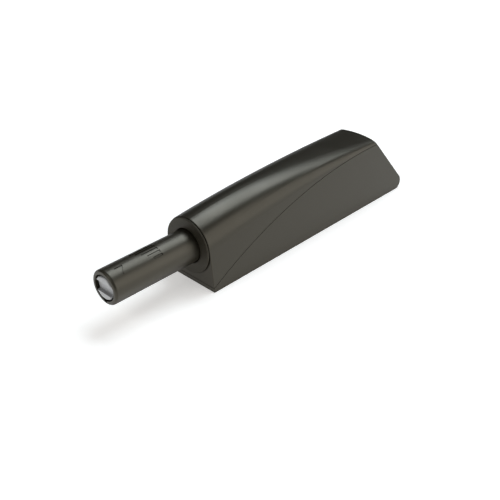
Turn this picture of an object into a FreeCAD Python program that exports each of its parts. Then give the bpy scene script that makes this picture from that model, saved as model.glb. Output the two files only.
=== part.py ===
import FreeCAD
import Part
import math
import os

# Push to open catch: a sprung plunger in a round cartridge, held in a screw-on adapter housing.
# Millimetres. X is across, Y runs from the plunger tip at the front to the rear, Z is up.
# Distances called y are measured from the housing's front face until the pieces are saved, when
# they move so that the origin is the middle of the two screw holes, on the mounting face.

# Adapter housing, outside
housing_width = 16.0
side_lean = 7.0
axis_height = 9.1
housing_tail_length = 14.6
rear_rake = 38.8
rear_plan_radius = 35.0
rear_corner_radius = 2.0
rear_shoulder_height = 15.2
rear_shoulder_radius = 0.5
rear_haunch_radius = 0.6
front_haunch_turn = 62.0
rear_haunch_turn = 8.0
crown_turn = 5.0
height_ease = 2.3
radius_ease = 1.22
haunch_ease = 3.4
front_edge_radius = 0.12
least_inner_radius = 0.35
station_count = 9
station_crowding = 1.25

# Adapter housing, inside
wall = 1.3
floor_thickness = 2.0
front_wall = 2.5
rib_thickness = 1.6
seam_start_height = 1.0
seam_middle_y = 24.0
seam_middle_height = 10.5
seam_gap = 0.12
tongue_height = 0.9
tongue_gap = 0.05
rear_rib_inset = 1.8

# Screw holes through the floor
screw_spacing = 32.0
screw_first_y = 16.5
screw_hole_radius = 2.1
screw_sink_radius = 3.9
screw_sink_depth = 1.8
screw_boss_radius = 4.6
screw_boss_height = 0.8

# Snap lugs that hold the cover down near its rear end
lug_inset = 8.0
lug_width = 4.0
lug_thickness = 0.8
lug_reach = 2.6
lug_hook = 0.4
lug_hook_height = 0.9

# Cartridge tube and its collar
tube_wall = 0.5
collar_inset = 0.12
collar_thickness = 0.5
collar_edge_radius = 0.25
collar_groove_width = 0.2
collar_groove_depth = 0.3
collar_spigot_length = 3.0
collar_mouth = 0.3
buffer_length = 1.2

# Plunger
plunger_radius = 4.0
plunger_clearance = 0.5
plunger_reach = 23.3
tip_edge_radius = 0.6
plunger_bore_radius = 3.1
plunger_tail_length = 4.8
travel = 20.0

# Marks engraved in the plunger
triangle_from_tip = 3.35
triangle_angle = 80.0
triangle_side = 2.3
triangle_corner = 60.0
mark_depth = 0.15
bar_count = 5
bars_from_tip = 13.8
bar_longest = 6.2
bar_shortest = 2.4
bar_width = 0.55
bar_first_angle = 104.0
bar_pitch_angle = 13.0

# Adjustable tip
tip_pocket_radius = 3.05
tip_pocket_depth = 6.5
screw_head_radius = 2.67
screw_head_thickness = 1.6
screw_head_proud = 0.1
screw_head_chamfer = 0.2
screw_slot_width = 2.5
screw_slot_depth = 0.8
shank_radius = 1.5
tip_travel = 3.0
cup_length = 4.0
cup_key_width = 1.0
cup_key_height = 0.3
magnet_radius = 2.55
magnet_length = 2.4
magnet_bore_radius = 1.65
web_thickness = 3.0
bush_radius = 2.2
bush_flange_radius = 2.7
bush_flange_thickness = 0.6
friction_ring_length = 1.2
friction_ring_radius = 2.6
stop_ring_radius = 2.3
stop_ring_thickness = 0.5

# Cam slide
slide_flat_height = 1.6
slide_end_margin = 0.6
slide_cap_gap = 0.4
spring_bore_radius = 1.95
spring_bore_floor = 0.44
spring_bore_margin = 3.0
track_front_margin = 2.0
track_depth = 1.1
island_gap = 0.55
island_length = 5.2
island_half_width = 0.6
island_cheek_length = 1.3
island_cheek_bulge = 0.08
notch_offset = 0.15
return_lane_offset = 1.1
return_lane_bend = 6.8
fork_length = 10.4
latch_overtravel = 2.0
link_pin_radius = 0.5
link_pin_from_end = 2.5
link_pin_inset = 0.2

# Cam follower and its spring
follower_wire_radius = 0.45
follower_throw = 1.4
follower_lift = 0.15
follower_eye_radius = 1.3
follower_eye_height = 1.2
follower_pin_radius = 0.5
follower_pin_seat = 1.6
follower_pin_depth = 1.7
leaf_width = 1.6
leaf_thickness = 0.2
leaf_reach = 9.0
leaf_seat = 3.0
leaf_toe_length = 1.0
leaf_anchor_height = 3.2

# End cap, guide rod and main spring
cap_length = 5.0
cap_rim_thickness = 0.8
cap_slot_half_width = 2.7
cap_pin_radius = 0.5
cap_pin_inset = 1.1
rod_radius = 0.9
rod_length = 22.0
rod_seat = 3.0
rod_chamfer = 0.3
spring_coil_radius = 1.5
spring_wire_radius = 0.25
spring_turns = 14

# Clearances
running_gap = 0.06
fit_gap = 0.02
side_gap = 0.1
lane_gap = 0.15

# Places along the catch that follow from the sizes above
TIP_Y = -plunger_reach
HEAD_BACK_Y = TIP_Y - screw_head_proud + screw_head_thickness
WEB_Y = TIP_Y + tip_pocket_depth
BUSH_END_Y = WEB_Y + web_thickness + bush_flange_thickness
RING_END_Y = BUSH_END_Y + friction_ring_length
SHANK_END_Y = RING_END_Y + tip_travel + side_gap
TRIANGLE_Y = TIP_Y + triangle_from_tip
BAR_END_Y = TIP_Y + bars_from_tip
SHOULDER_Y = collar_spigot_length + buffer_length
PLUNGER_END_Y = SHOULDER_Y + plunger_tail_length
LINK_PIN_Y = PLUNGER_END_Y - link_pin_from_end
SPRING_BORE_END_Y = PLUNGER_END_Y + spring_bore_margin
FOLLOWER_TIP_Y = PLUNGER_END_Y + track_front_margin + travel
SLIDE_END_Y = FOLLOWER_TIP_Y + slide_end_margin
CAP_FACE_Y = SLIDE_END_Y + travel + slide_cap_gap
CAP_END_Y = CAP_FACE_Y + cap_length
CAP_RIM_Y = CAP_END_Y + cap_rim_thickness
FOLLOWER_PIN_Y = CAP_FACE_Y + follower_pin_seat
HOUSING_LENGTH = CAP_END_Y + housing_tail_length
PATTERN_MIDDLE_Y = screw_first_y + screw_spacing / 2
SCREW_YS = (screw_first_y, screw_first_y + screw_spacing)
LUG_START_Y = CAP_END_Y - lug_inset - lug_width / 2
LUG_END_Y = LUG_START_Y + lug_width
CRADLE_YS = (screw_first_y / 2, PATTERN_MIDDLE_Y, CAP_END_Y - rear_rib_inset)
HOLD_DOWN_YS = (screw_first_y, LUG_START_Y - rib_thickness)

# Radii, heights and angles that follow from the sizes above
LEAN = math.radians(side_lean)
RAKE = math.radians(rear_rake)
CROWN_TURN = math.radians(crown_turn)
BASE_ANGLE = math.pi / 2 - RAKE
REAR_FOOT_Y = HOUSING_LENGTH - rear_corner_radius + rear_corner_radius / math.tan(BASE_ANGLE / 2)
REAR_AXIS_Y = REAR_FOOT_Y - rear_plan_radius
REAR_BOW = rear_plan_radius - math.sqrt(rear_plan_radius ** 2 - (housing_width / 2) ** 2)
FRONT_ARCH_RADIUS = housing_width / 2 * math.cos(LEAN) - axis_height * math.sin(LEAN)
FRONT_SHOULDER_HEIGHT = axis_height + FRONT_ARCH_RADIUS * math.sin(LEAN)
COLLAR_RADIUS = FRONT_ARCH_RADIUS - collar_inset
TUBE_BORE = plunger_radius + plunger_clearance
TUBE_RADIUS = TUBE_BORE + tube_wall
SLIDE_RADIUS = TUBE_BORE - running_gap
SLIDE_FLAT_Z = axis_height + slide_flat_height
FOLLOWER_Z = SLIDE_FLAT_Z + follower_lift + follower_wire_radius
LEAF_Z = axis_height + leaf_anchor_height
SPRING_Z = axis_height - SLIDE_RADIUS + spring_bore_floor + spring_bore_radius

# How far a cutting tool runs past the face that it cuts, a length beyond every piece, and how
# near two lengths are that count as the same
PAST = 1.0
FAR = 200.0
SAME = 1e-4

V = FreeCAD.Vector


def cylinder(radius, y_start, y_end, z=axis_height):
    """A round bar along Y, centred on X = 0."""
    return Part.makeCylinder(radius, y_end - y_start, V(0, y_start, z), V(0, 1, 0))


def pipe(outer, inner, y_start, y_end, z=axis_height):
    """A round tube along Y."""
    return cylinder(outer, y_start, y_end, z).cut(cylinder(inner, y_start - PAST, y_end + PAST, z))


def block(x_half, y_start, y_end, z_low, z_high):
    """A block centred on X = 0."""
    return Part.makeBox(2 * x_half, y_end - y_start, z_high - z_low, V(-x_half, y_start, z_low))


def slab(y_start, y_end):
    """Everything between two Y planes, for trimming."""
    return block(FAR, y_start, y_end, -FAR, FAR)


def across(wire, half_width):
    """A YZ outline pushed out to both sides of X = 0."""
    face = Part.Face(wire)
    face.translate(V(-half_width, 0, 0))
    return face.extrude(V(2 * half_width, 0, 0))


def upright(wire, z_low, z_high):
    """An XY outline pushed up from one height to another."""
    face = Part.Face(wire)
    face.translate(V(0, 0, z_low))
    return face.extrude(V(0, 0, z_high - z_low))


def rings_at(shape, y, radius):
    """The circular edges of a turned piece at one place and radius."""
    return [e for e in shape.Edges
            if isinstance(e.Curve, Part.Circle)
            and abs(e.Curve.Center.y - y) < SAME and abs(e.Curve.Radius - radius) < SAME]


def yz(y, z):
    """A point on the middle plane."""
    return V(0, y, z)


# Housing form

def eased(y, power):
    """Rises from 0 at the front face to 1 at the rear foot, quickly at first."""
    return 1 - (1 - min(y / REAR_FOOT_Y, 1)) ** power


def arch_wire(y, inset, z_low):
    """One cross-section: leaning sides, shoulders, haunches and a crown, drawn in by an inset."""
    shoulder_height = FRONT_SHOULDER_HEIGHT
    shoulder_height += (rear_shoulder_height - FRONT_SHOULDER_HEIGHT) * eased(y, height_ease)
    radius = FRONT_ARCH_RADIUS + (rear_shoulder_radius - FRONT_ARCH_RADIUS) * eased(y, radius_ease)
    radius = max(radius - inset, least_inner_radius)
    share = min(y / REAR_FOOT_Y, 1)
    haunch = FRONT_ARCH_RADIUS + (rear_haunch_radius - FRONT_ARCH_RADIUS) * share ** haunch_ease
    haunch = max(haunch - inset, radius)
    turn = math.radians(front_haunch_turn + (rear_haunch_turn - front_haunch_turn) * share)
    out_x = math.cos(LEAN)
    out_z = math.sin(LEAN)
    half_top = housing_width / 2 - shoulder_height * math.tan(LEAN) - inset * out_x
    side_top_z = shoulder_height - inset * out_z
    half_low = half_top + (side_top_z - z_low) * math.tan(LEAN)
    centre_x = half_top - radius * out_x
    centre_z = side_top_z - radius * out_z
    haunch_x = centre_x - (haunch - radius) * math.sin(turn)
    haunch_z = centre_z - (haunch - radius) * math.cos(turn)

    def on_shoulder(angle):
        return V(centre_x + radius * math.sin(angle), y, centre_z + radius * math.cos(angle))

    def on_haunch(angle):
        return V(haunch_x + haunch * math.sin(angle), y, haunch_z + haunch * math.cos(angle))

    def mirrored(point):
        return V(-point.x, point.y, point.z)

    low = V(half_low, y, z_low)
    side_top = V(half_top, y, side_top_z)
    shoulder_mid = on_shoulder((turn + math.pi / 2 - LEAN) / 2)
    shoulder_end = on_shoulder(turn)
    haunch_mid = on_haunch((turn + CROWN_TURN) / 2)
    haunch_end = on_haunch(CROWN_TURN)
    crown = V(0, y, haunch_end.z + haunch_end.x * math.tan(CROWN_TURN / 2))
    edges = [
        Part.LineSegment(low, side_top).toShape(),
        Part.Arc(side_top, shoulder_mid, shoulder_end).toShape(),
        Part.Arc(shoulder_end, haunch_mid, haunch_end).toShape(),
        Part.Arc(haunch_end, crown, mirrored(haunch_end)).toShape(),
        Part.Arc(mirrored(haunch_end), mirrored(haunch_mid), mirrored(shoulder_end)).toShape(),
        Part.Arc(mirrored(shoulder_end), mirrored(shoulder_mid), mirrored(side_top)).toShape(),
        Part.LineSegment(mirrored(side_top), mirrored(low)).toShape(),
        Part.LineSegment(mirrored(low), low).toShape(),
    ]
    return Part.Wire(edges)


def raked_block(inset, y_front, z_low):
    """A block whose rear end is raked, rounded at its heel and bowed about an upright axis."""
    foot = REAR_FOOT_Y - inset / math.cos(RAKE) - z_low * math.tan(RAKE)
    radius = max(rear_corner_radius - inset, least_inner_radius)
    setback = radius / math.tan(BASE_ANGLE / 2)
    heel_start = yz(foot - setback, z_low)
    heel_end = yz(foot - setback * math.sin(RAKE), z_low + setback * math.cos(RAKE))
    centre = yz(foot - setback, z_low + radius)
    to_foot = yz(foot, z_low) - centre
    heel_mid = centre + to_foot * (radius / to_foot.Length)
    top = 2 * rear_shoulder_height
    rake_top = yz(foot - (top - z_low) * math.tan(RAKE), top)
    axis_low = yz(REAR_AXIS_Y, z_low)
    axis_top = yz(REAR_AXIS_Y, top)
    edges = [
        Part.LineSegment(axis_low, heel_start).toShape(),
        Part.Arc(heel_start, heel_mid, heel_end).toShape(),
        Part.LineSegment(heel_end, rake_top).toShape(),
        Part.LineSegment(rake_top, axis_top).toShape(),
        Part.LineSegment(axis_top, axis_low).toShape(),
    ]
    outline = Part.Face(Part.Wire(edges))
    outline.rotate(axis_low, V(0, 0, 1), -90)
    tail = outline.revolve(axis_low, V(0, 0, 1), 180)
    front = block(housing_width, y_front, REAR_AXIS_Y, z_low, top)
    return front.fuse(tail).removeSplitter()


def housing_form(inset, y_front, z_low):
    """The whole housing as one solid, drawn in by an inset, for the shells to be cut from."""
    shares = [(index / (station_count - 1)) ** station_crowding for index in range(station_count)]
    stations = [y_front + (REAR_FOOT_Y - y_front) * share for share in shares]
    arch = Part.makeLoft([arch_wire(y, inset, z_low - PAST) for y in stations], True, False)
    return arch.common(raked_block(inset, y_front, z_low))


def below_seam(rise):
    """Everything under the curved joint between base and cover, shifted up by a rise."""
    rear_y = REAR_FOOT_Y - REAR_BOW - rear_shoulder_height * math.tan(RAKE)
    start = yz(0, seam_start_height + rise)
    middle = yz(seam_middle_y, seam_middle_height + rise)
    end = yz(rear_y, rear_shoulder_height + rise)
    outer = [yz(FAR, end.z), yz(FAR, -FAR), yz(-FAR, -FAR), yz(-FAR, start.z)]
    edges = [Part.Arc(start, middle, end).toShape()]
    corners = [end] + outer + [start]
    edges += [Part.LineSegment(a, b).toShape() for a, b in zip(corners, corners[1:])]
    return across(Part.Wire(edges), housing_width)


def rounded_front(form):
    """The outer form with its front edge rounded, apart from the mounting face."""
    rim = [e for e in form.Edges
           if e.BoundBox.YMax < front_edge_radius / 2 and e.BoundBox.ZMax > axis_height / 2]
    return form.makeFillet(front_edge_radius, rim)


OUTER = rounded_front(housing_form(0, 0, 0))
CAVITY = housing_form(wall, front_wall, floor_thickness)
MIDDLE = housing_form(wall / 2, front_wall + tongue_gap, floor_thickness - wall / 2)
TONGUE_SPACE = housing_form(wall / 2 - tongue_gap, front_wall, floor_thickness - wall / 2)
LUG_SPACE = housing_form(wall + fit_gap, front_wall, floor_thickness)


def seam_height_at(y):
    """Height of the seam arc at a distance from the front face."""
    line = Part.LineSegment(yz(y, 0), yz(y, 2 * rear_shoulder_height)).toShape()
    return line.common(below_seam(0)).BoundBox.ZMax


# Adapter

def tube_lane():
    """The round space that the cartridge lies in, from the front face to its rear stop."""
    return cylinder(TUBE_RADIUS + fit_gap, -PAST, CAP_RIM_Y + side_gap)


def cradle_rib(y):
    """A rib across the base, in which the tube's lane then leaves a round seat."""
    rib = MIDDLE.common(slab(y - rib_thickness / 2, y + rib_thickness / 2)).common(below_seam(0))
    return rib.cut(block(housing_width, -FAR, FAR, axis_height, FAR))


def hold_down_rib(y):
    """A rib inside the cover that holds the tube in its cradle."""
    rib = MIDDLE.common(slab(y - rib_thickness / 2, y + rib_thickness / 2))
    rib = rib.cut(block(housing_width, -FAR, FAR, -FAR, axis_height + TUBE_RADIUS / 2))
    return rib.cut(below_seam(tongue_height + side_gap))


def screw_hole(y):
    """Clearance hole with a countersink that opens at the top of its boss."""
    top = floor_thickness + screw_boss_height
    hole = Part.makeCylinder(screw_hole_radius, 3 * top, V(0, y, -top))
    sink = Part.makeCone(screw_hole_radius, screw_sink_radius, screw_sink_depth,
                         V(0, y, top - screw_sink_depth))
    return hole.fuse(sink)


def adapter_base():
    base = OUTER.cut(CAVITY).common(below_seam(0))
    tongue = MIDDLE.cut(CAVITY).cut(below_seam(-seam_gap)).common(below_seam(tongue_height))
    tongue = tongue.cut(slab(LUG_START_Y - side_gap, LUG_END_Y + side_gap))
    base = base.fuse(tongue)
    for y in CRADLE_YS:
        base = base.fuse(cradle_rib(y))
    stop_y = CAP_RIM_Y + side_gap
    stop = MIDDLE.common(slab(stop_y, stop_y + rib_thickness))
    stop = stop.cut(block(housing_width, -FAR, FAR, axis_height + TUBE_RADIUS / 2, FAR))
    base = base.fuse(stop)
    for y in SCREW_YS:
        base = base.fuse(Part.makeCylinder(screw_boss_radius, screw_boss_height + floor_thickness / 2,
                                           V(0, y, floor_thickness / 2)))
    for y in SCREW_YS:
        base = base.cut(screw_hole(y))
    base = base.cut(lug_pockets()).cut(tube_lane())
    return base.removeSplitter()


def along_side_wall(depths, heights, y_start, y_end):
    """A bar along Y against the inside of the right wall, and its mirror image on the left.

    Depths are measured in from the outer face, square to it, and heights from the mounting face.
    """
    def point(depth, z):
        return V(housing_width / 2 - z * math.tan(LEAN) - depth / math.cos(LEAN), y_start, z)

    outline = [point(depths[0], heights[0]), point(depths[0], heights[1]),
               point(depths[1], heights[1]), point(depths[1], heights[0])]
    bar = Part.Face(Part.makePolygon(outline + outline[:1])).extrude(V(0, y_end - y_start, 0))
    return Part.makeCompound([bar, bar.mirror(V(0, 0, 0), V(1, 0, 0))])


def lug_pockets():
    """Recesses in the base walls that the cover's hooks snap into."""
    low = seam_height_at(LUG_START_Y) - lug_reach
    return along_side_wall((wall - lug_hook - side_gap, wall + side_gap),
                           (low - side_gap, low + lug_hook_height + side_gap),
                           LUG_START_Y - side_gap, LUG_END_Y + side_gap)


def snap_lugs():
    """Springy tongues of the cover, with outward hooks at their lower ends."""
    seam = seam_height_at(LUG_START_Y)
    low = seam - lug_reach
    stem = along_side_wall((wall + fit_gap, wall + fit_gap + lug_thickness),
                           (low, seam + wall), LUG_START_Y, LUG_END_Y)
    hook = along_side_wall((wall - lug_hook, wall + lug_thickness / 2),
                           (low, low + lug_hook_height), LUG_START_Y, LUG_END_Y)
    base_wall = OUTER.cut(LUG_SPACE).common(below_seam(0))
    return stem.cut(base_wall).fuse(hook)


def adapter_cover():
    cover = OUTER.cut(CAVITY).cut(below_seam(seam_gap))
    cover = cover.cut(TONGUE_SPACE.common(below_seam(tongue_height + tongue_gap)))
    for y in HOLD_DOWN_YS:
        cover = cover.fuse(hold_down_rib(y))
    cover = cover.fuse(snap_lugs()).cut(tube_lane())
    return cover.removeSplitter()


# Cartridge

def cartridge_tube():
    tube = pipe(TUBE_RADIUS, TUBE_BORE, 0, CAP_END_Y)
    return tube.cut(cap_pin_bar())


def front_collar():
    """A thin flange that a groove sets off from the housing's face, on a spigot in the tube."""
    flange = cylinder(COLLAR_RADIUS, -collar_thickness, -collar_groove_width)
    flange = flange.fuse(cylinder(COLLAR_RADIUS - collar_groove_depth, -collar_groove_width, 0))
    spigot = cylinder(TUBE_BORE - fit_gap, 0, collar_spigot_length)
    collar = flange.fuse(spigot).cut(cylinder(plunger_radius + running_gap, -FAR, FAR))
    rim = rings_at(collar, -collar_thickness, COLLAR_RADIUS)
    collar = collar.makeFillet(collar_edge_radius, rim)
    mouth = rings_at(collar, -collar_thickness, plunger_radius + running_gap)
    return collar.makeFillet(collar_mouth, mouth)


def buffer_ring():
    return pipe(TUBE_BORE - running_gap, plunger_radius + 2 * running_gap, collar_spigot_length, SHOULDER_Y)


def cap_pin_bar():
    """A bar right across the tube, for the pin and its hole."""
    start = V(-TUBE_RADIUS, CAP_END_Y - cap_pin_inset, axis_height)
    return Part.makeCylinder(cap_pin_radius, 2 * TUBE_RADIUS, start, V(1, 0, 0))


def end_cap_pin():
    return cap_pin_bar().common(cylinder(TUBE_RADIUS - fit_gap, 0, FAR))


def end_cap():
    cap = cylinder(TUBE_BORE - fit_gap, CAP_FACE_Y, CAP_END_Y)
    cap = cap.fuse(cylinder(TUBE_RADIUS, CAP_END_Y, CAP_RIM_Y))
    slot_half_height = follower_eye_height / 2 + side_gap
    slot_end = FOLLOWER_PIN_Y + follower_eye_radius + 2 * side_gap
    slot = block(cap_slot_half_width, CAP_FACE_Y - PAST, slot_end,
                 FOLLOWER_Z - slot_half_height, FOLLOWER_Z + slot_half_height)
    cap = cap.cut(slot).cut(leaf_anchor(fit_gap)).cut(follower_pin()).cut(guide_rod())
    return cap.cut(cap_pin_bar())


def guide_rod():
    rod_end = CAP_FACE_Y + rod_seat
    rod = cylinder(rod_radius, rod_end - rod_length, rod_end, SPRING_Z)
    return rod.makeChamfer(rod_chamfer, rings_at(rod, rod_end - rod_length, rod_radius))


def follower_pin():
    low = FOLLOWER_Z - follower_pin_depth
    high = LEAF_Z - fit_gap
    return Part.makeCylinder(follower_pin_radius, high - low, V(0, FOLLOWER_PIN_Y, low))


def leaf_anchor(gap):
    """The straight end of the leaf, in its slit in the cap."""
    return block(leaf_width / 2 + gap, CAP_FACE_Y, CAP_FACE_Y + leaf_seat + gap,
                 LEAF_Z - gap, LEAF_Z + leaf_thickness + gap)


def leaf_spring():
    """A strip that leaves the cap and bends down to press on the follower."""
    z_press = FOLLOWER_Z + follower_wire_radius + fit_gap
    y_press = CAP_FACE_Y - leaf_reach
    corners = [
        yz(CAP_FACE_Y, LEAF_Z),
        yz(y_press, z_press),
        yz(y_press - leaf_toe_length, z_press + leaf_thickness),
        yz(y_press - leaf_toe_length, z_press + 2 * leaf_thickness),
        yz(y_press, z_press + leaf_thickness),
        yz(CAP_FACE_Y, LEAF_Z + leaf_thickness),
    ]
    blade = across(Part.makePolygon(corners + corners[:1]), leaf_width / 2)
    return leaf_anchor(0).fuse(blade).removeSplitter()


def main_spring():
    """The coil spring in front of the cap, its ends just clear of what they press on."""
    y_start = SPRING_BORE_END_Y + spring_wire_radius + fit_gap
    y_end = CAP_FACE_Y - spring_wire_radius - fit_gap
    length = y_end - y_start
    helix = Part.makeHelix(length / spring_turns, length, spring_coil_radius)
    section = Part.Wire(Part.makeCircle(spring_wire_radius, V(spring_coil_radius, 0, 0), V(0, 1, 0)))
    coil = Part.Wire(helix).makePipeShell([section], True, True)
    coil.rotate(V(0, 0, 0), V(1, 0, 0), -90)
    coil.translate(V(0, y_start, SPRING_Z))
    return coil


# Plunger

def engraved_triangle():
    """A triangle on the plunger's surface, its base along the plunger, pointing round it."""
    height = triangle_side / 2 * math.tan(math.radians(triangle_corner))
    outer = plunger_radius + PAST
    corners = [V(0, TRIANGLE_Y - triangle_side / 2, 0), V(0, TRIANGLE_Y + triangle_side / 2, 0),
               V(height, TRIANGLE_Y, 0)]
    mark = upright(Part.makePolygon(corners + corners[:1]), 0, outer)
    mark.rotate(V(0, 0, 0), V(0, 1, 0), 90 - triangle_angle)
    mark.translate(V(0, 0, axis_height))
    return mark.cut(cylinder(plunger_radius - mark_depth, -FAR, 0))


def engraved_bar(index):
    """One groove of the stepped row of bars."""
    length = bar_longest + (bar_shortest - bar_longest) * index / (bar_count - 1)
    bar = block(bar_width / 2, BAR_END_Y - length, BAR_END_Y, 0, plunger_radius + PAST)
    angle = bar_first_angle - index * bar_pitch_angle
    bar.rotate(V(0, 0, 0), V(0, 1, 0), 90 - angle)
    bar.translate(V(0, 0, axis_height))
    return bar.cut(cylinder(plunger_radius - mark_depth, -FAR, 0))


def key_groove():
    """Keyway at the bottom of the tip pocket."""
    return block(cup_key_width / 2, TIP_Y - PAST, WEB_Y,
                 axis_height - tip_pocket_radius - cup_key_height, axis_height)


def plunger_tube():
    body = cylinder(plunger_radius, TIP_Y, SHOULDER_Y)
    body = body.makeFillet(tip_edge_radius, rings_at(body, TIP_Y, plunger_radius))
    body = body.fuse(cylinder(SLIDE_RADIUS, SHOULDER_Y, PLUNGER_END_Y))
    web_end = WEB_Y + web_thickness
    body = body.cut(cylinder(tip_pocket_radius, TIP_Y - PAST, WEB_Y))
    body = body.cut(key_groove())
    body = body.cut(cylinder(bush_radius, WEB_Y - PAST, web_end + PAST))
    body = body.cut(cylinder(plunger_bore_radius, web_end, PLUNGER_END_Y + PAST))
    body = body.cut(engraved_triangle())
    for index in range(bar_count):
        body = body.cut(engraved_bar(index))
    body = body.cut(link_pin())
    return body.removeSplitter()


def thread_bush():
    web_end = WEB_Y + web_thickness
    bush = cylinder(bush_radius, WEB_Y, web_end)
    bush = bush.fuse(cylinder(bush_flange_radius, web_end, BUSH_END_Y))
    return bush.cut(cylinder(shank_radius + running_gap, -FAR, FAR))


def friction_ring():
    return pipe(friction_ring_radius, shank_radius + running_gap, BUSH_END_Y, RING_END_Y)


def link_pin():
    half = SLIDE_RADIUS - link_pin_inset
    return Part.makeCylinder(link_pin_radius, 2 * half, V(-half, LINK_PIN_Y, axis_height), V(1, 0, 0))


# Latch

def lane_x(y):
    """Sideways place of the follower tip where the track passes y on the slide."""
    return follower_throw * (FOLLOWER_TIP_Y - y) / travel


def track_outline():
    """The track: one channel at the rear that opens into two lanes round the island."""
    half = follower_wire_radius + lane_gap
    y_full = FOLLOWER_TIP_Y - travel
    front = y_full - half - lane_gap
    left = -return_lane_offset - half
    y_open = SLIDE_END_Y + PAST
    corners = [
        V(lane_x(y_open) + half, y_open, 0),
        V(-half, y_open, 0),
        V(-half, y_full + fork_length, 0),
        V(left, y_full + return_lane_bend, 0),
        V(left, y_full + half, 0),
        V(-half, front, 0),
        V(follower_throw, front, 0),
        V(follower_throw + half, y_full, 0),
    ]
    return Part.makePolygon(corners + corners[:1])


def heart_island():
    """The island that the follower rounds, with the notch that it rests in when latched."""
    y_notch = FOLLOWER_TIP_Y - travel + latch_overtravel + island_gap
    middle = -notch_offset
    left = V(middle - island_half_width, y_notch - island_gap, 0)
    right = V(middle + island_half_width, y_notch - island_gap, 0)
    notch = V(middle, y_notch, 0)
    tail = V(middle, y_notch + island_length, 0)
    cheek_y = y_notch + island_cheek_length
    cheek_half = island_half_width + island_cheek_bulge
    cheek_left = V(middle - cheek_half, cheek_y, 0)
    cheek_right = V(middle + cheek_half, cheek_y, 0)
    edges = [
        Part.Arc(left, notch, right).toShape(),
        Part.LineSegment(right, cheek_right).toShape(),
        Part.LineSegment(cheek_right, tail).toShape(),
        Part.LineSegment(tail, cheek_left).toShape(),
        Part.LineSegment(cheek_left, left).toShape(),
    ]
    return Part.Wire(edges)


def cam_slide():
    body = cylinder(SLIDE_RADIUS, PLUNGER_END_Y, SLIDE_END_Y)
    body = body.cut(block(FAR, PLUNGER_END_Y, SLIDE_END_Y, SLIDE_FLAT_Z, FAR))
    body = body.fuse(cylinder(plunger_bore_radius - fit_gap, collar_spigot_length, PLUNGER_END_Y))
    body = body.cut(cylinder(spring_bore_radius, SPRING_BORE_END_Y, SLIDE_END_Y + PAST, SPRING_Z))
    track = upright(track_outline(), SLIDE_FLAT_Z - track_depth, SLIDE_FLAT_Z + PAST)
    island = upright(heart_island(), SLIDE_FLAT_Z - track_depth, SLIDE_FLAT_Z + PAST)
    body = body.cut(track.cut(island))
    return body.cut(link_pin())


def cam_follower():
    """A wire arm with a round eye at its pivot and its tip bent down into the track."""
    arm = cylinder(follower_wire_radius, FOLLOWER_TIP_Y, FOLLOWER_PIN_Y, FOLLOWER_Z)
    tip_low = SLIDE_FLAT_Z - track_depth + lane_gap
    tip = Part.makeCylinder(follower_wire_radius, FOLLOWER_Z - tip_low, V(0, FOLLOWER_TIP_Y, tip_low))
    knee = Part.makeSphere(follower_wire_radius, V(0, FOLLOWER_TIP_Y, FOLLOWER_Z))
    eye_low = FOLLOWER_Z - follower_eye_height / 2
    eye = Part.makeCylinder(follower_eye_radius, follower_eye_height, V(0, FOLLOWER_PIN_Y, eye_low))
    hole = Part.makeCylinder(follower_pin_radius + running_gap, 2 * follower_eye_height,
                             V(0, FOLLOWER_PIN_Y, eye_low - follower_eye_height / 2))
    return arm.fuse([tip, knee, eye]).cut(hole).removeSplitter()


# Adjustable tip

def magnet_cup():
    cup_end = HEAD_BACK_Y + cup_length
    cup = cylinder(tip_pocket_radius - running_gap, HEAD_BACK_Y, cup_end)
    key = block(cup_key_width / 2 - running_gap, HEAD_BACK_Y, cup_end,
                axis_height - tip_pocket_radius - cup_key_height + running_gap, axis_height)
    cup = cup.fuse(key)
    cup = cup.cut(cylinder(magnet_radius + fit_gap, HEAD_BACK_Y - PAST, HEAD_BACK_Y + magnet_length))
    return cup.cut(cylinder(shank_radius + running_gap, -FAR, FAR)).removeSplitter()


def ring_magnet():
    return pipe(magnet_radius, magnet_bore_radius, HEAD_BACK_Y + fit_gap, HEAD_BACK_Y + magnet_length)


def adjusting_screw():
    face_y = TIP_Y - screw_head_proud
    head = cylinder(screw_head_radius, face_y, HEAD_BACK_Y)
    head = head.makeChamfer(screw_head_chamfer, rings_at(head, face_y, screw_head_radius))
    slot = block(FAR, face_y - PAST, face_y + screw_slot_depth,
                 axis_height - screw_slot_width / 2, axis_height + screw_slot_width / 2)
    return head.cut(slot).fuse(cylinder(shank_radius, HEAD_BACK_Y, SHANK_END_Y))


def stop_ring():
    """The disc riveted on the end of the shank."""
    return cylinder(stop_ring_radius, SHANK_END_Y, SHANK_END_Y + stop_ring_thickness)


PIECES = {
    "adapter_base": adapter_base,
    "adapter_cover": adapter_cover,
    "cartridge_tube": cartridge_tube,
    "front_collar": front_collar,
    "buffer_ring": buffer_ring,
    "end_cap": end_cap,
    "end_cap_pin": end_cap_pin,
    "guide_rod": guide_rod,
    "main_spring": main_spring,
    "leaf_spring": leaf_spring,
    "follower_pin": follower_pin,
    "cam_follower": cam_follower,
    "plunger_tube": plunger_tube,
    "thread_bush": thread_bush,
    "friction_ring": friction_ring,
    "link_pin": link_pin,
    "cam_slide": cam_slide,
    "magnet_cup": magnet_cup,
    "ring_magnet": ring_magnet,
    "adjusting_screw": adjusting_screw,
    "stop_ring": stop_ring,
}


def save_all():
    os.makedirs("parts", exist_ok=True)
    for name, make in PIECES.items():
        shape = make()
        shape.translate(V(0, -PATTERN_MIDDLE_Y, 0))
        shape.exportStep(os.path.join("parts", name + ".step"))
        print(name, len(shape.Solids), round(shape.Volume, 1), shape.isValid())


save_all()
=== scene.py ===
import math

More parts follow.
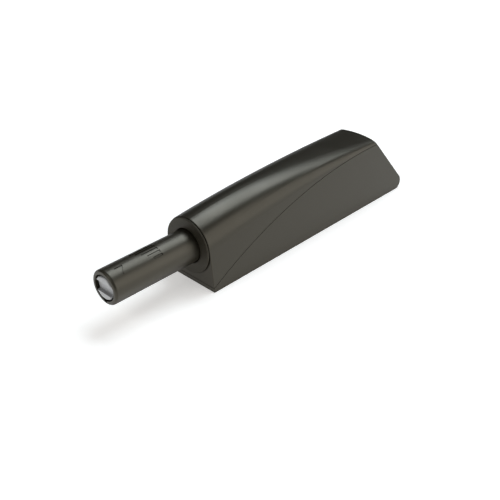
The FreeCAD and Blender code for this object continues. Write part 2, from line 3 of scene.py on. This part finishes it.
import bpy
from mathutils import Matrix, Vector


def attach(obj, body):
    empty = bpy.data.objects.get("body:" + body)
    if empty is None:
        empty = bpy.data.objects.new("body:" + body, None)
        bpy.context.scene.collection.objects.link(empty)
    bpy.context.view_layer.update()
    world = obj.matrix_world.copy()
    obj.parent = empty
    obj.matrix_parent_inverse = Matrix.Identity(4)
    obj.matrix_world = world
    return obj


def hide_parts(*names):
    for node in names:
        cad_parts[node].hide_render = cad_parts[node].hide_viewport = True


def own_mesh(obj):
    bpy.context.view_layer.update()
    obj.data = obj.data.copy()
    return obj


# A push to open catch on a pale studio floor. Lengths are metres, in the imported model's frame:
# the plunger points along -Y, +Z is up from the mounting face.

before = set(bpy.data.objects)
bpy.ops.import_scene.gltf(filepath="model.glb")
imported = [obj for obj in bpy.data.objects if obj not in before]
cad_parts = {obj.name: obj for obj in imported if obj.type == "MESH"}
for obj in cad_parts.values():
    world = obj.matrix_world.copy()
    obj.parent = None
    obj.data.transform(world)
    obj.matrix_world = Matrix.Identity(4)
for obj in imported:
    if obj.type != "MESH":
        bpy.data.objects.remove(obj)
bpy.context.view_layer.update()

# Camera: where it stands, its aim as a compass angle and a height angle, its lens and sensor in
# mm, and the nearest that it sees
CAMERA_PLACE = Vector((0.114247, -0.131289, 0.102688))
CAMERA_AZIMUTH = math.radians(44.0027)
CAMERA_ELEVATION = math.radians(32.2572)
CAMERA_LENS = 57.585
CAMERA_SENSOR = 36.0
CAMERA_NEAREST = 0.001

# Softboxes: place, width and height, power in watts, colour
SOFTBOXES = {
    "key": (Vector((-0.13, 0.50, 0.90)), (0.74, 0.46), 7.0, (0.85, 0.93, 1.0)),
    "front": (Vector((-0.10, -1.1, 0.85)), (0.9, 0.7), 5.0, (1.0, 1.0, 1.0)),
    "fill": (Vector((0.92, 0.62, 0.44)), (1.2, 0.95), 7.0, (1.0, 1.0, 1.0)),
}
SOFTBOX_TARGET = Vector((0.0, 0.0, 0.008))

# Surround: the dim light that it gives, and what the camera sees past the floor's edge
WORLD_COLOUR = (0.97, 0.99, 1.0, 1.0)
WORLD_STRENGTH = 0.06
BACKDROP_COLOUR = (0.98, 0.98, 0.98, 1.0)

# Floor: matt, and lit a little from within so that shadows stay faint
FLOOR_HALF = 1.6
FLOOR_COLOUR = (0.84, 0.83, 0.814, 1.0)
FLOOR_ROUGHNESS = 0.85
FLOOR_SHINE = 0.1
FLOOR_GLOW = 0.58

# The part of a noise pattern's range that holds nearly all of it
NOISE_LOW = 0.3
NOISE_HIGH = 0.7

# Plastics, all dark warm grey and satin: colour, roughness, shine
DARK_GREY = (0.0165, 0.0145, 0.0095)
PLASTICS = {
    "housing_plastic": (DARK_GREY, 0.32, 0.5),
    "plunger_plastic": (DARK_GREY, 0.38, 0.62),
    "collar_plastic": (DARK_GREY, 0.58, 0.5),
    "cartridge_plastic": ((0.016, 0.0155, 0.014), 0.45, 0.5),
}
PLASTIC_SHEEN_TINT = (1.0, 0.92, 0.75, 1.0)

# The plastics' fine grain from a spark-eroded mould, and their cloudy change of tone and gloss
GRAIN_SCALE = 7000.0
GRAIN_DETAIL = 2.0
GRAIN_DEPTH = 0.000004
CLOUD_SCALE = 160.0
CLOUD_DETAIL = 3.0
CLOUD_TONE = 0.06
CLOUD_GLOSS = 0.03

# Painted shade in corners: the plastics' shine drops where ambient occlusion finds a corner: how
# far a corner reaches, how open a place is at the corner's start and at its bottom, and the shine
# at the bottom
CORNER_REACH = 0.0006
CORNER_START = 0.9
CORNER_BOTTOM = 0.4
CORNER_SHINE = 0.02

# They dull at a glancing angle too: how far the surface has turned from the eye where that starts
# and where it ends, and the share of the shine that is left there
GLANCE_START = 0.5
GLANCE_END = 0.82
GLANCE_SHARE = 0.03

# Metals: colour, roughness, scale and depth of the tool marks, and the marks' scale along each
# axis, where a small one draws them out into lines
EVEN = (1.0, 1.0, 1.0)
METALS = {
    "screw_metal": ((0.5, 0.5, 0.5), 0.62, 1400.0, 0.000002, (0.2, 1.0, 1.0)),
    "spring_steel": ((0.5, 0.5, 0.5), 0.3, 2500.0, 0.000002, EVEN),
    "pin_steel": ((0.6, 0.6, 0.6), 0.22, 3000.0, 0.000002, EVEN),
    "magnet": ((0.62, 0.61, 0.6), 0.18, 900.0, 0.000001, EVEN),
    "brass": ((0.75, 0.55, 0.25), 0.28, 1800.0, 0.000002, EVEN),
}
MARK_DETAIL = 2.0
MARK_TONE = 0.08
MARK_GLOSS = 0.06

# Rubber: its roughness wanders between two values
RUBBER_COLOUR = (0.018, 0.018, 0.018)
RUBBER_ROUGHNESS = (0.75, 0.9)
RUBBER_GRAIN_SCALE = 5000.0
RUBBER_GRAIN_DETAIL = 3.0
RUBBER_GRAIN_DEPTH = 0.000006
RUBBER_TONE = 0.2

# The CAD nodes made of each material
NODES_OF = {
    "housing_plastic": ("adapter_base", "adapter_cover"),
    "plunger_plastic": ("plunger_tube",),
    "collar_plastic": ("front_collar",),
    "cartridge_plastic": ("cartridge_tube", "end_cap", "cam_slide", "magnet_cup"),
    "screw_metal": ("adjusting_screw",),
    "spring_steel": ("main_spring", "leaf_spring", "cam_follower"),
    "pin_steel": ("end_cap_pin", "guide_rod", "follower_pin", "link_pin", "stop_ring"),
    "magnet": ("ring_magnet",),
    "brass": ("thread_bush",),
    "rubber": ("buffer_ring", "friction_ring"),
}


# Patterns and what they change

def new_material(name):
    """A material, its node tree and its shader."""
    material = bpy.data.materials.new(name)
    material.use_nodes = True
    tree = material.node_tree
    return material, tree, tree.nodes["Principled BSDF"]


def noise(tree, scale, detail, stretch=EVEN):
    """A noise pattern fixed to the piece."""
    place = tree.nodes.new("ShaderNodeTexCoord")
    mapping = tree.nodes.new("ShaderNodeMapping")
    mapping.inputs["Scale"].default_value = stretch
    pattern = tree.nodes.new("ShaderNodeTexNoise")
    pattern.inputs["Scale"].default_value = scale
    pattern.inputs["Detail"].default_value = detail
    tree.links.new(place.outputs["Object"], mapping.inputs["Vector"])
    tree.links.new(mapping.outputs["Vector"], pattern.inputs["Vector"])
    return pattern.outputs["Fac"]


def mapped(tree, source, old_range, new_range):
    """A source that runs over one range, made to run over another."""
    node = tree.nodes.new("ShaderNodeMapRange")
    node.inputs["From Min"].default_value = old_range[0]
    node.inputs["From Max"].default_value = old_range[1]
    node.inputs["To Min"].default_value = new_range[0]
    node.inputs["To Max"].default_value = new_range[1]
    tree.links.new(source, node.inputs["Value"])
    return node.outputs["Result"]


def shaded(colour, factor):
    """A colour made lighter or darker."""
    return [channel * factor for channel in colour] + [1.0]


def vary_tone(tree, shader, pattern, colour, variation):
    """Gives a shader a colour that wanders a little lighter and darker with a pattern."""
    mix = tree.nodes.new("ShaderNodeMix")
    mix.data_type = "RGBA"
    mix.inputs["A"].default_value = shaded(colour, 1 - variation)
    mix.inputs["B"].default_value = shaded(colour, 1 + variation)
    tree.links.new(pattern, mix.inputs["Factor"])
    tree.links.new(mix.outputs["Result"], shader.inputs["Base Color"])


def vary_gloss(tree, shader, pattern, lowest, highest):
    """Gives a shader a roughness that wanders between two values with a pattern."""
    roughness = mapped(tree, pattern, (NOISE_LOW, NOISE_HIGH), (lowest, highest))
    tree.links.new(roughness, shader.inputs["Roughness"])


def emboss(tree, shader, pattern, depth):
    """Gives a shader relief."""
    bump = tree.nodes.new("ShaderNodeBump")
    bump.inputs["Distance"].default_value = depth
    tree.links.new(pattern, bump.inputs["Height"])
    tree.links.new(bump.outputs["Normal"], shader.inputs["Normal"])


# Materials

def shine_with_painted_corner_shade(tree, shine):
    """Painted shade: less shine in grooves and seams, where the surface sees little but itself."""
    corner = tree.nodes.new("ShaderNodeAmbientOcclusion")
    corner.inputs["Distance"].default_value = CORNER_REACH
    return mapped(tree, corner.outputs["AO"], (CORNER_BOTTOM, CORNER_START), (CORNER_SHINE, shine))


def glance_share(tree):
    """The share of the shine left where the surface turns from the eye: its outline stays dark."""
    turned = tree.nodes.new("ShaderNodeLayerWeight")
    return mapped(tree, turned.outputs["Facing"], (GLANCE_START, GLANCE_END), (1.0, GLANCE_SHARE))


def make_plastic(name, colour, roughness, shine):
    """Moulded plastic: a fine even grain, and a cloudy change of tone and gloss."""
    material, tree, shader = new_material(name)
    cloud = noise(tree, CLOUD_SCALE, CLOUD_DETAIL)
    vary_tone(tree, shader, cloud, colour, CLOUD_TONE)
    vary_gloss(tree, shader, cloud, roughness - CLOUD_GLOSS, roughness + CLOUD_GLOSS)
    shader.inputs["Specular Tint"].default_value = PLASTIC_SHEEN_TINT
    shader.inputs["Specular IOR Level"].default_value = shine
    # The shine carries painted shade in grooves and seams, and drops at a glancing angle
    product = tree.nodes.new("ShaderNodeMath")
    product.operation = "MULTIPLY"
    tree.links.new(shine_with_painted_corner_shade(tree, shine), product.inputs[0])
    tree.links.new(glance_share(tree), product.inputs[1])
    tree.links.new(product.outputs["Value"], shader.inputs["Specular IOR Level"])
    emboss(tree, shader, noise(tree, GRAIN_SCALE, GRAIN_DETAIL), GRAIN_DEPTH)
    return material


def make_metal(name, colour, roughness, mark_scale, mark_depth, stretch):
    """Bare metal with fine tool marks, which a stretch draws out into lines."""
    material, tree, shader = new_material(name)
    marks = noise(tree, mark_scale, MARK_DETAIL, stretch)
    shader.inputs["Metallic"].default_value = 1.0
    vary_tone(tree, shader, marks, colour, MARK_TONE)
    vary_gloss(tree, shader, marks, roughness - MARK_GLOSS, roughness + MARK_GLOSS)
    emboss(tree, shader, marks, mark_depth)
    return material


def make_rubber(name):
    """Matt black rubber."""
    material, tree, shader = new_material(name)
    grain = noise(tree, RUBBER_GRAIN_SCALE, RUBBER_GRAIN_DETAIL)
    vary_tone(tree, shader, grain, RUBBER_COLOUR, RUBBER_TONE)
    vary_gloss(tree, shader, grain, *RUBBER_ROUGHNESS)
    emboss(tree, shader, grain, RUBBER_GRAIN_DEPTH)
    return material


def make_materials():
    """Every material of the object, by name."""
    made = {"rubber": make_rubber("rubber")}
    for name, values in PLASTICS.items():
        made[name] = make_plastic(name, *values)
    for name, values in METALS.items():
        made[name] = make_metal(name, *values)
    return made


def dress(materials):
    """Gives each CAD node its material."""
    for name, nodes in NODES_OF.items():
        for node in nodes:
            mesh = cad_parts[node].data
            mesh.materials.clear()
            mesh.materials.append(materials[name])


# Spring

def make_coil():
    """The main spring as a coil with a mesh of its own, fixed to the housing in place of the CAD
    node.
    """
    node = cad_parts["main_spring"]
    coil = bpy.data.objects.new("main_spring_coil", node.data.copy())
    coil.matrix_world = node.matrix_world
    bpy.context.scene.collection.objects.link(coil)
    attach(coil, "housing")
    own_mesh(coil)
    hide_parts("main_spring")


# Studio

def make_floor():
    """A plain pale floor."""
    half = FLOOR_HALF
    corners = [(-half, -half, 0), (half, -half, 0), (half, half, 0), (-half, half, 0)]
    mesh = bpy.data.meshes.new("floor")
    mesh.from_pydata(corners, [], [(0, 1, 2, 3)])
    floor = bpy.data.objects.new("floor", mesh)
    bpy.context.scene.collection.objects.link(floor)
    material, _, shader = new_material("floor")
    shader.inputs["Base Color"].default_value = FLOOR_COLOUR
    shader.inputs["Roughness"].default_value = FLOOR_ROUGHNESS
    shader.inputs["Specular IOR Level"].default_value = FLOOR_SHINE
    shader.inputs["Emission Color"].default_value = FLOOR_COLOUR
    shader.inputs["Emission Strength"].default_value = FLOOR_GLOW
    mesh.materials.append(material)


def make_softbox(name, place, size, power, colour):
    """A rectangular lamp that faces the object."""
    lamp = bpy.data.lights.new(name, "AREA")
    lamp.shape = "RECTANGLE"
    lamp.size, lamp.size_y = size
    lamp.energy = power
    lamp.color = colour
    softbox = bpy.data.objects.new(name, lamp)
    softbox.location = place
    softbox.rotation_euler = (place - SOFTBOX_TARGET).to_track_quat("Z", "Y").to_euler()
    bpy.context.scene.collection.objects.link(softbox)


def make_world():
    """A surround that lights the object dimly and stands behind it as pale as the floor."""
    world = bpy.data.worlds.new("studio")
    world.use_nodes = True
    tree = world.node_tree
    light = tree.nodes["Background"]
    light.inputs["Color"].default_value = WORLD_COLOUR
    light.inputs["Strength"].default_value = WORLD_STRENGTH
    backdrop = tree.nodes.new("ShaderNodeBackground")
    backdrop.inputs["Color"].default_value = BACKDROP_COLOUR
    path = tree.nodes.new("ShaderNodeLightPath")
    mix = tree.nodes.new("ShaderNodeMixShader")
    tree.links.new(path.outputs["Is Camera Ray"], mix.inputs["Fac"])
    tree.links.new(light.outputs["Background"], mix.inputs[1])
    tree.links.new(backdrop.outputs["Background"], mix.inputs[2])
    tree.links.new(mix.outputs["Shader"], tree.nodes["World Output"].inputs["Surface"])
    bpy.context.scene.world = world


def make_camera():
    """The camera at the photograph's viewing angle."""
    data = bpy.data.cameras.new("camera")
    data.sensor_width = CAMERA_SENSOR
    data.lens = CAMERA_LENS
    data.clip_start = CAMERA_NEAREST
    camera = bpy.data.objects.new("camera", data)
    back = Vector((math.sin(CAMERA_AZIMUTH) * math.cos(CAMERA_ELEVATION),
                   -math.cos(CAMERA_AZIMUTH) * math.cos(CAMERA_ELEVATION),
                   math.sin(CAMERA_ELEVATION)))
    camera.location = CAMERA_PLACE
    camera.rotation_euler = (-back).to_track_quat("-Z", "Y").to_euler()
    bpy.context.scene.collection.objects.link(camera)
    bpy.context.scene.camera = camera


dress(make_materials())
make_coil()
make_floor()
for name, values in SOFTBOXES.items():
    make_softbox(name, *values)
make_world()
make_camera()
bpy.context.scene.view_settings.view_transform = "Standard"
